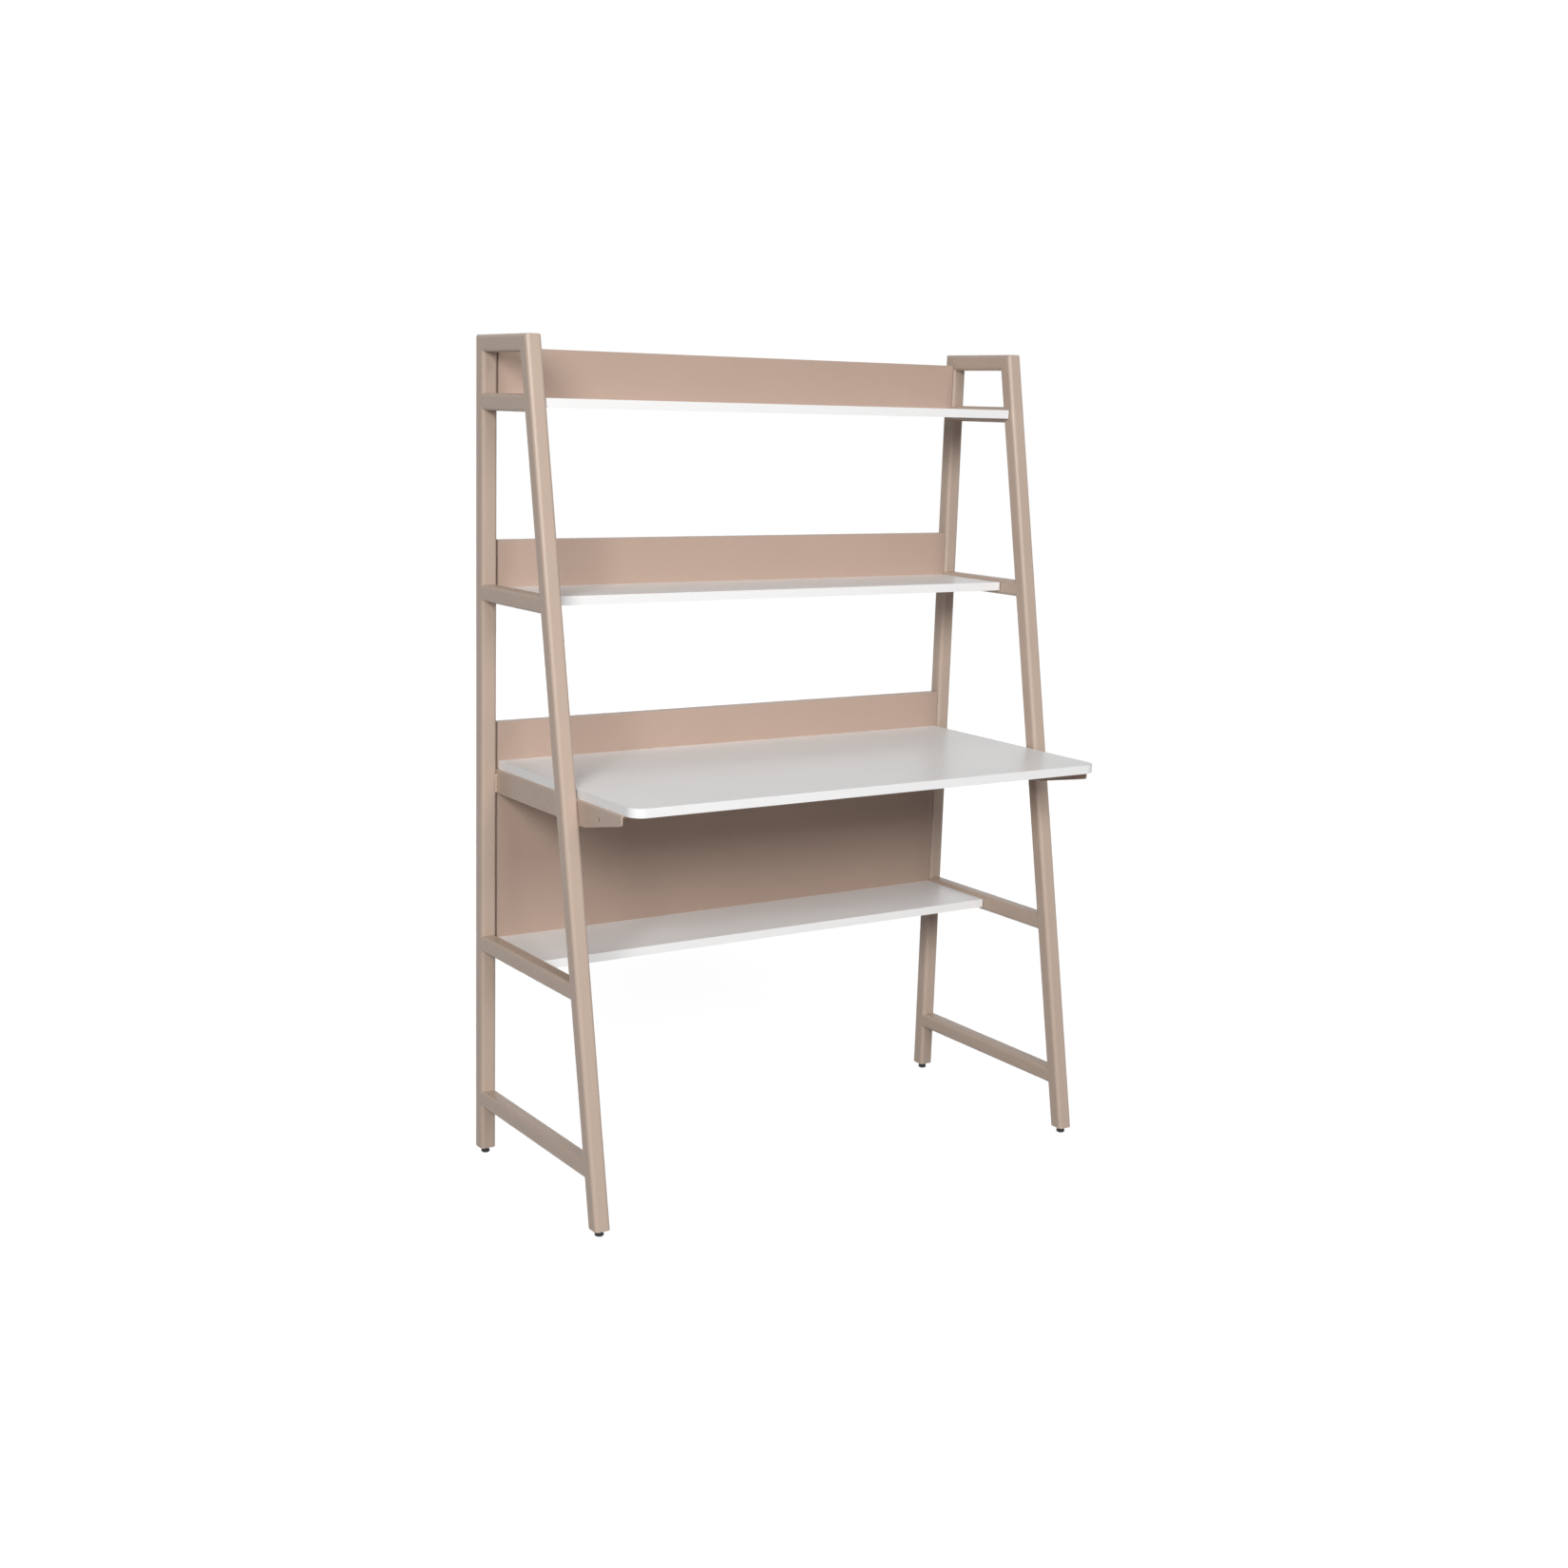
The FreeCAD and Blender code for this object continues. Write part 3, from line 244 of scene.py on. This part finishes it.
def zinc(name):
    """Bright zinc plate with faint blue and yellow passivation tints."""
    graph = new_graph(name)
    tint = graph.noise(ZINC_TINT, detail=2)
    scratch = graph.noise(ZINC_SCRATCH, detail=2, stretch=(1, 1, 0.1))
    return graph.principled({
        "Base Color": graph.tones(tint, (0.56, 0.58, 0.62), (0.66, 0.64, 0.58)),
        "Metallic": 1.0,
        "Roughness": graph.spread(scratch, 0.28, 0.42),
        "Normal": graph.bump(scratch, 0.00001)})


def moulded_plastic(name, colour):
    """Fine-grained moulded plastic."""
    graph = new_graph(name)
    grain = graph.noise(PLASTIC_GRAIN, detail=2)
    return graph.principled({
        "Base Color": graph.tones(grain, shade(colour, 0.8), shade(colour, 1.3)),
        "Roughness": graph.spread(grain, 0.45, 0.6),
        "Normal": graph.bump(grain, 0.00003)})


FRAME_PAINT = (0.515, 0.400, 0.325)
WHITE = (0.890, 0.884, 0.880)
WHITE_EDGE = (0.880, 0.874, 0.870)
PANEL_BEIGE = (0.464, 0.341, 0.276)
PANEL_EDGE = (0.430, 0.335, 0.280)
BLACK = (0.02, 0.02, 0.021)

materials = {
    "frame_paint": powder_coat("frame_powder_coat", FRAME_PAINT),
    "white_board": melamine("white_melamine", WHITE, roughness=0.33, gloss=0.5),
    "white_edging": edge_band("white_edge_band", WHITE_EDGE),
    "panel_board": melamine("beige_melamine", PANEL_BEIGE, roughness=0.5, gloss=0.2),
    "panel_edging": edge_band("beige_edge_band", PANEL_EDGE),
    "zinc_steel": zinc("bright_zinc"),
    "black_plastic": moulded_plastic("black_plastic", BLACK),
}
for node, finish in finishes.items():
    for holder in nodes[node].material_slots:
        holder.material = materials[finish]


# ---------------------------------------------------------------- screws, studs and weld beads

# These solids are turned round an axis, in millimetres: a list of rings from one end to the
# other, each a height along the axis with a radius or an outline, which gives a radius by angle.
MM = 0.001
RING_POINTS = 24
THREAD_RINGS = 4            # rings in one pitch of a thread
SHARP_EDGE = math.radians(38)
TINY = 1e-6                 # nearer points are one point, and a divisor is no smaller

BEAD_RINGS = 96
BEAD_RADIUS = 2.5
BEAD_END = 0.1              # radius of a bead's first and last ring, as a share of the bead's
DROP_LENGTH = 9.0           # from one drop of a bead to the next
DROP_LEAN = 0.12            # how far a drop leans along the bead, as a share of its length
DROP_LOW, DROP_RISE = 0.82, 0.36    # radius between drops, and how much one adds
RIPPLES = 5                 # fine ripples across a drop
RIPPLE_RISE = 0.025


def hexagon(flats):
    """Outline of a hexagon of a width over its flats."""
    return lambda angle: flats / 2 / math.cos((angle + math.pi / 6) % (math.pi / 3) - math.pi / 6)


def cross(reach, half_arm):
    """Outline of a cross-shaped driver recess."""
    def radius(angle):
        small, large = sorted((abs(math.cos(angle)), abs(math.sin(angle))))
        return min(reach / large, half_arm / max(small, TINY))
    return radius


def winding(core, crest, turns):
    """Outline of a V-shaped thread that has wound a number of turns."""
    return lambda angle: core + (crest - core) * abs(
        2 * ((turns - angle / (2 * math.pi)) % 1) - 1)


def drop(along, share):
    """Outline of a weld bead at a distance along it, where its end leaves a share of it."""
    def radius(angle):
        travel = along / DROP_LENGTH + DROP_LEAN * math.cos(2 * angle)
        rise = DROP_RISE * abs(math.sin(math.pi * travel))
        ripple = RIPPLE_RISE * math.cos(2 * math.pi * travel * RIPPLES)
        return BEAD_RADIUS * share * (DROP_LOW + rise + ripple)
    return radius


def thread(low, high, core, crest, pitch):
    """Rings of a helical thread from one height to another."""
    count = round((high - low) / pitch * THREAD_RINGS)
    heights = [low + (high - low) * index / count for index in range(count + 1)]
    return [(winding(core, crest, height / pitch), height) for height in heights]


def weld_bead(length):
    """Rings of a hand-laid weld bead: overlapping drops, with finer ripples across them."""
    rings = []
    for index in range(BEAD_RINGS + 1):
        along = length * index / BEAD_RINGS
        from_end = min(along, length - along, BEAD_RADIUS)
        squared = BEAD_RADIUS ** 2 - (BEAD_RADIUS - from_end) ** 2
        share = math.sqrt(max(squared, (BEAD_END * BEAD_RADIUS) ** 2)) / BEAD_RADIUS
        rings.append((drop(along, share), along))
    return rings


def turned_piece(name, node, solids):
    """One piece that stands for a CAD node, from its solids' places, axes and rings."""
    points, faces = [], []
    for place, axis, rings in solids:
        turn = Vector(axis).to_track_quat("Z", "Y")
        first = len(points)
        for radius, height in rings:
            for step in range(RING_POINTS):
                angle = 2 * math.pi * step / RING_POINTS
                reach = radius(angle) if callable(radius) else radius
                local = Vector((reach * math.cos(angle), reach * math.sin(angle), height))
                points.append(Vector(place) + turn @ local * MM)
        for start in range(first, len(points) - RING_POINTS, RING_POINTS):
            for step in range(RING_POINTS):
                after = (step + 1) % RING_POINTS
                faces.append((start + step, start + after,
                              start + RING_POINTS + after, start + RING_POINTS + step))
        faces.append(tuple(reversed(range(first, first + RING_POINTS))))
        faces.append(tuple(range(len(points) - RING_POINTS, len(points))))
    mesh = bpy.data.meshes.new(name)
    mesh.from_pydata(points, [], faces)
    mesh.shade_smooth()
    mesh.set_sharp_from_angle(angle=SHARP_EDGE)
    mesh.materials.append(materials[finishes[node]])
    piece = add_object(name, mesh)
    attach(piece, body_of(nodes[node])[0])
    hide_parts(node)


def solid_boxes(node):
    """Low and high corner of each separate solid in a CAD node, in a fixed order."""
    work = bmesh.new()
    work.from_mesh(nodes[node].data)
    bmesh.ops.remove_doubles(work, verts=work.verts, dist=TINY)
    waiting = set(work.verts)
    boxes = []
    while waiting:
        reached = [waiting.pop()]
        for vertex in reached:
            for edge in vertex.link_edges:
                other = edge.other_vert(vertex)
                if other in waiting:
                    waiting.remove(other)
                    reached.append(other)
        boxes.append([tuple(pick(vertex.co[axis] for vertex in reached) for axis in range(3))
                      for pick in (min, max)])
    work.free()
    return sorted(boxes)


def fasteners(node, axis, rings, start=0.0):
    """A turned solid for each solid of a node, with height zero a start past its first end."""
    made = []
    along = 1 if axis[1] else 2
    for low, high in solid_boxes(node):
        place = (Vector(low) + Vector(high)) / 2
        end = low if axis[along] > 0 else high
        place[along] = end[along] + axis[along] * start * MM
        made.append((place, axis, rings))
    return made


PAN_HEIGHT = 2.4
STUD_START = 2.0            # underside of the stud above the floor

RECESS_FLOOR = cross(1.3, 0.35)
RECESS_MOUTH = cross(2.1, 0.55)
FLAT_HEAD = [(RECESS_FLOOR, 1.7), (RECESS_MOUTH, 0.0), (3.85, 0.0), (4.0, 0.15), (1.5, 2.3)]
PAN_HEAD = [(RECESS_FLOOR, -0.6), (RECESS_MOUTH, -PAN_HEIGHT), (2.6, -PAN_HEIGHT),
            (3.1, -2.25), (3.6, -1.85), (3.9, -1.3), (4.0, -0.7), (4.0, 0.0), (1.5, 0.0)]
SHANK = [*thread(2.6, 12.4, core=1.35, crest=2.0, pitch=1.6), (0.15, 14.0)]
CONNECTOR = [(hexagon(3.8), 2.6), (hexagon(4.0), 0.0), (4.6, 0.0), (4.75, 0.15), (3.5, 1.4),
             (3.5, 16.0), (1.9, 16.2), *thread(16.6, 46.0, core=1.9, crest=2.5, pitch=3.0),
             (0.3, 48.0)]
STUD = [(3.4, STUD_START), *thread(2.6, 36.2, core=3.4, crest=4.0, pitch=1.25), (2.9, 37.0)]

UP, FORWARD, BACK = (0, 0, 1), (0, -1, 0), (0, 1, 0)

for node, axis, rings, start in (
        ("shelf_screws", UP, FLAT_HEAD + SHANK, 0.0),
        ("panel_screws", FORWARD, FLAT_HEAD + SHANK, 0.0),
        ("desktop_screws", UP, PAN_HEAD + SHANK, PAN_HEIGHT),
        ("panel_connectors", FORWARD, CONNECTOR, 0.0)):
    turned_piece("detailed_" + node, node, fasteners(node, axis, rings, start))

# The beads at the right desk rail's post and leg: place, axis, and length in millimetres.
BEADS = (((0.50625, 0.23126, 0.691), UP, 36.0),
         ((0.50375, -0.0835, 0.68975), BACK, 22.6))

for side, sign in (("left", -1), ("right", 1)):
    for end in ("front", "rear"):
        node = f"{side}_{end}_glide_stud"
        turned_piece("threaded_" + node, node, fasteners(node, UP, STUD, -STUD_START))
    node = f"{side}_desk_rail_welds"
    turned_piece("rippled_" + node, node, [((sign * x, y, z), axis, weld_bead(length))
                                           for (x, y, z), axis, length in BEADS])


# ---------------------------------------------------------------- studio

FLOOR_TONE = 0.34       # pale grey of the floor where it lights the desk
SHADOW_SHARE = 0.22     # how much of the floor's white is left to light and shadow
NEAR_CLEAR = 0.94       # how much of the world's white it lets through close to the desk
NEAR_FLOOR = 1.2        # within this distance, and all of it beyond the next
FAR_FLOOR = 4.0
FLOOR_REACH = 15
WORLD_LIGHT = 0.02      # even light on the desk from all round
BACKGROUND = 1.0        # white
LAMP_TARGET = Vector((0, 0, 0.8))
BACKGROUND_RAYS = ("Is Camera Ray", "Is Glossy Ray", "Is Transmission Ray")


def grey(level):
    """A grey as a colour socket's value."""
    return (level, level, level, 1)


def sees_background(graph):
    """One for the rays that meet the white background, zero for those that light the desk."""
    path = graph.node("LightPath")
    seen = path.outputs[BACKGROUND_RAYS[0]]
    for ray in BACKGROUND_RAYS[1:]:
        seen = graph.node("Math", {0: seen, 1: path.outputs[ray]}, operation="MAXIMUM").outputs[0]
    return seen


def floor_material():
    """Floor: plain diffuse for the desk's light, and to the eye a faint shadow on clear white.

    The white is the world's, so the feet still show where a pose screws them out below the floor.
    """
    graph = new_graph("floor")
    plain = graph.node("BsdfDiffuse", {"Color": grey(FLOOR_TONE)}).outputs["BSDF"]
    faint = graph.node("BsdfDiffuse", {"Color": grey(SHADOW_SHARE)}).outputs["BSDF"]
    place = graph.node("TexCoord").outputs["Object"]
    reach = graph.node("VectorMath", {0: place}, operation="LENGTH").outputs["Value"]
    level = graph.node("MapRange", {"Value": reach, "From Min": NEAR_FLOOR, "From Max": FAR_FLOOR,
                                    "To Min": NEAR_CLEAR, "To Max": 1.0}).outputs["Result"]
    clear = graph.node("BsdfTransparent", {"Color": level}).outputs["BSDF"]
    bright = graph.node("AddShader", {0: faint, 1: clear}).outputs["Shader"]
    mixed = graph.node("MixShader", {0: sees_background(graph), 1: plain, 2: bright})
    return graph.close(mixed.outputs["Shader"])


def make_floor():
    """The floor as a stage piece, level with the feet."""
    mesh = bpy.data.meshes.new("floor")
    corners = [(x * FLOOR_REACH, y * FLOOR_REACH, 0)
               for x, y in ((-1, -1), (1, -1), (1, 1), (-1, 1))]
    mesh.from_pydata(corners, [], [(0, 1, 2, 3)])
    mesh.materials.append(floor_material())
    add_object("floor", mesh)


def make_world():
    """Soft even light all round, white where the camera or a reflection sees it."""
    graph = Graph(bpy.data.worlds.new("studio"), "OutputWorld")
    light, white = (graph.node("Background", {"Color": grey(1), "Strength": level}).outputs[0]
                    for level in (WORLD_LIGHT, BACKGROUND))
    mixed = graph.node("MixShader", {0: sees_background(graph), 1: light, 2: white})
    bpy.context.scene.world = graph.close(mixed.outputs["Shader"])


def softbox(name, azimuth, elevation, distance, size, power, mirrored=True):
    """A square lamp aimed at the middle of the desk, from an azimuth and elevation in degrees."""
    data = bpy.data.lights.new(name, "AREA")
    data.shape = "SQUARE"
    data.size = size
    data.energy = power
    around, up = math.radians(azimuth), math.radians(elevation)
    away = Vector((math.sin(around) * math.cos(up), -math.cos(around) * math.cos(up),
                   math.sin(up)))
    lamp = add_object(name, data)
    lamp.location = LAMP_TARGET + away * distance
    lamp.rotation_mode = "QUATERNION"
    lamp.rotation_quaternion = (-away).to_track_quat("-Z", "Y")
    lamp.visible_camera = False
    lamp.visible_glossy = mirrored


make_floor()
make_world()
softbox("key_light", azimuth=-43, elevation=22, distance=7.0, size=2.3, power=330)
softbox("front_light", azimuth=-2, elevation=30, distance=12.0, size=5.0, power=635)
softbox("back_light", azimuth=178, elevation=8, distance=8.0, size=4.0, power=250, mirrored=False)
make_camera()
scene.view_settings.view_transform = "Standard"
